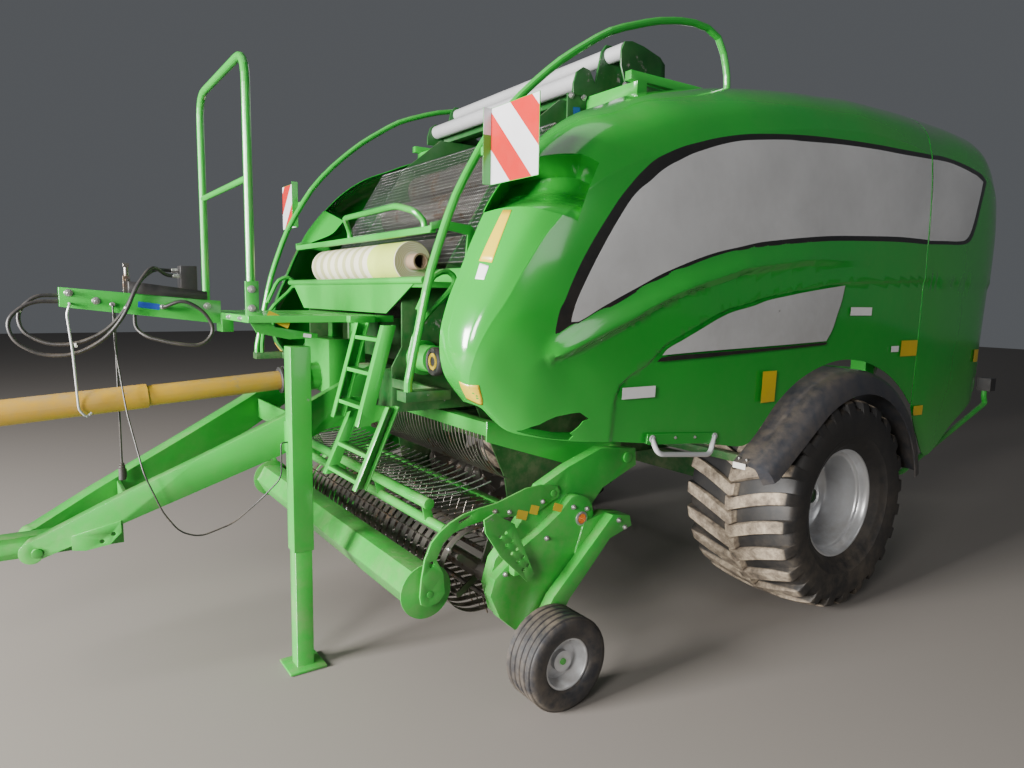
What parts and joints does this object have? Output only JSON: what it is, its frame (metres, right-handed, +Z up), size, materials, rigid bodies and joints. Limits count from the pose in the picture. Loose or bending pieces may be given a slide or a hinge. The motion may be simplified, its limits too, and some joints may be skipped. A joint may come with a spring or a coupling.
{
  "type": "bale wrapper",
  "caption": "Towed round baler with built-in bale wrapper: green cowlings, big farm tyres, pickup reel, ladder, drive shaft, net roll and a turning film ring behind.",
  "frame": {"origin": "middle of the machine's length and width, on the ground", "axes": "+Z up, -Y towards the hitch eye at the front, +X to the machine's left"},
  "size_m": [3, 6.6, 3.0735],
  "materials": {
    "green_paint": "gloss",
    "dark_green_paint": "semi_gloss",
    "tyre_rubber": "matte",
    "grey_rim": "semi_gloss",
    "worn_steel": "brushed",
    "bright_steel": "brushed",
    "light_grey_tube": "semi_gloss",
    "black_plastic": "matte",
    "yellow_plastic": "gloss",
    "net_wrap": "matte",
    "marker_board": "gloss",
    "black_rubber": "matte"
  },
  "bodies": {
    "chassis": {"main_frame": "dark_green_paint", "axle": "dark_green_paint", "chamber_sides": "dark_green_paint", "chamber_rollers": "worn_steel", "upper_frame": "green_paint", "top_tubes": "light_grey_tube", "top_unit": "dark_green_paint", "rear_panels": "green_paint", "fenders": "black_plastic", "drawbar": "green_paint", "hitch_tongue": "green_paint", "stand_tube": "green_paint", "stand_leg": "green_paint", "gearbox": "green_paint", "shaft_cone": "black_plastic", "drive_shaft": "yellow_plastic", "front_yoke": "bright_steel", "platform": "green_paint", "handrail": "green_paint", "hose_pad": "black_rubber", "hose_hook": "light_grey_tube", "hose_one": "black_rubber", "hose_two": "black_rubber", "hose_loop": "black_rubber", "hanging_cable": "black_rubber", "control_wire": "black_rubber", "ladder_upper": "green_paint", "net_tray": "green_paint", "net_roll": "net_wrap", "hoops": "green_paint", "marker_boards": "marker_board", "mesh_guard": "light_grey_tube", "crop_comb": "green_paint", "comb_wires": "worn_steel", "ring_portal": "green_paint", "rear_bumper": "green_paint", "rear_lamps": "black_plastic"},
    "left_wheel": {"left_tyre": "tyre_rubber", "left_rim": "grey_rim"},
    "right_wheel": {"right_tyre": "tyre_rubber", "right_rim": "grey_rim"},
    "left_door": {"left_door": "green_paint"},
    "right_door": {"right_door": "green_paint"},
    "chamber_door": {"chamber_door": "dark_green_paint"},
    "pickup": {"pickup_frame": "green_paint", "pickup_bands": "worn_steel", "gauge_arms": "green_paint"},
    "pickup_reel": {"pickup_reel": "worn_steel"},
    "crop_guard": {"crop_guard": "green_paint", "guard_wires": "bright_steel"},
    "press_roller": {"press_roller": "green_paint"},
    "left_gauge_wheel": {"left_gauge_tyre": "tyre_rubber", "left_gauge_rim": "grey_rim"},
    "right_gauge_wheel": {"right_gauge_tyre": "tyre_rubber", "right_gauge_rim": "grey_rim"},
    "feed_rotor": {"feed_rotor": "worn_steel"},
    "ladder_lower": {"ladder_lower": "green_paint"},
    "wrap_ring": {"wrap_ring": "bright_steel", "film_dispensers": "green_paint"},
    "wrap_table": {"wrap_table": "green_paint"}
  },
  "joints": [
    {"name": "left_wheel_spin", "type": "hinge", "parent": "chassis", "child": "left_wheel", "pos_m": [1.155, 1.25, 0.61], "axis": [1, 0, 0], "continuous": true},
    {"name": "right_wheel_spin", "type": "hinge", "parent": "chassis", "child": "right_wheel", "pos_m": [-1.155, 1.25, 0.61], "axis": [1, 0, 0], "continuous": true},
    {"name": "left_door_open", "type": "hinge", "parent": "chassis", "child": "left_door", "pos_m": [1.11, 1.35, 2.79], "axis": [0, -1, 0], "range_deg": [0, 55]},
    {"name": "right_door_open", "type": "hinge", "parent": "chassis", "child": "right_door", "pos_m": [-1.11, 1.35, 2.79], "axis": [0, 1, 0], "range_deg": [0, 55]},
    {"name": "chamber_door_open", "type": "hinge", "parent": "chassis", "child": "chamber_door", "pos_m": [0, 0.37, 2.47], "axis": [1, 0, 0], "range_deg": [0, 45]},
    {"name": "pickup_lift", "type": "hinge", "parent": "chassis", "child": "pickup", "pos_m": [0, -0.08, 0.96], "axis": [-1, 0, 0], "range_deg": [0, 10]},
    {"name": "reel_spin", "type": "hinge", "parent": "pickup", "child": "pickup_reel", "pos_m": [0, -0.79, 0.47], "axis": [1, 0, 0], "continuous": true},
    {"name": "crop_guard_float", "type": "hinge", "parent": "pickup", "child": "crop_guard", "pos_m": [0, -0.54, 0.85], "axis": [-1, 0, 0], "range_deg": [0, 10]},
    {"name": "press_roller_spin", "type": "hinge", "parent": "crop_guard", "child": "press_roller", "pos_m": [0, -1.165, 0.515], "axis": [1, 0, 0], "continuous": true},
    {"name": "left_gauge_wheel_spin", "type": "hinge", "parent": "pickup", "child": "left_gauge_wheel", "pos_m": [1.345, -0.675, 0.205], "axis": [1, 0, 0], "continuous": true},
    {"name": "right_gauge_wheel_spin", "type": "hinge", "parent": "pickup", "child": "right_gauge_wheel", "pos_m": [-1.345, -0.675, 0.205], "axis": [1, 0, 0], "continuous": true},
    {"name": "feed_rotor_spin", "type": "hinge", "parent": "chassis", "child": "feed_rotor", "pos_m": [0, -0.19, 0.64], "axis": [1, 0, 0], "continuous": true},
    {"name": "ladder_fold", "type": "hinge", "parent": "chassis", "child": "ladder_lower", "pos_m": [0.716, -1.232, 1.235], "axis": [-1, 0, 0], "range_deg": [0, 90]},
    {"name": "wrap_ring_spin", "type": "hinge", "parent": "chassis", "child": "wrap_ring", "pos_m": [0, 2.12, 1.62], "axis": [0, 1, 0], "continuous": true},
    {"name": "table_tip", "type": "hinge", "parent": "chassis", "child": "wrap_table", "pos_m": [0, 2.43, 0.9], "axis": [-1, 0, 0], "range_deg": [0, 25]}
  ]
}
